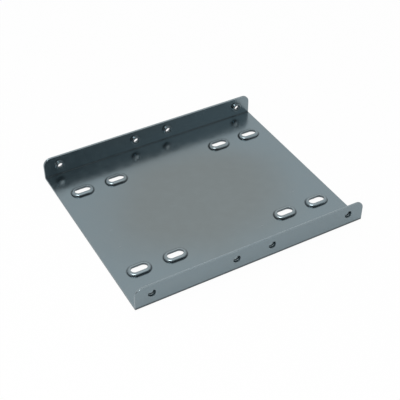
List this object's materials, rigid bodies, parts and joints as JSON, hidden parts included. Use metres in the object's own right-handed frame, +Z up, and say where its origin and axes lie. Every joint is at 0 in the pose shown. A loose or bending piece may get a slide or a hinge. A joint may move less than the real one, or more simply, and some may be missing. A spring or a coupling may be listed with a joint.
{
  "type": "hard drive bracket",
  "caption": "Shallow folded steel tray with two upturned flanges, raised slotted bosses for a small drive and tapped side holes for a larger drive bay.",
  "frame": {"origin": "middle of the flat underside", "axes": "+X along the two flanges, +Y across the tray from one flange to the other, +Z up out of the tray"},
  "size_m": [0.1178, 0.1016, 0.0118],
  "materials": {
    "steel": "satin"
  },
  "bodies": {
    "root": {"bracket": "steel"}
  },
  "joints": []
}
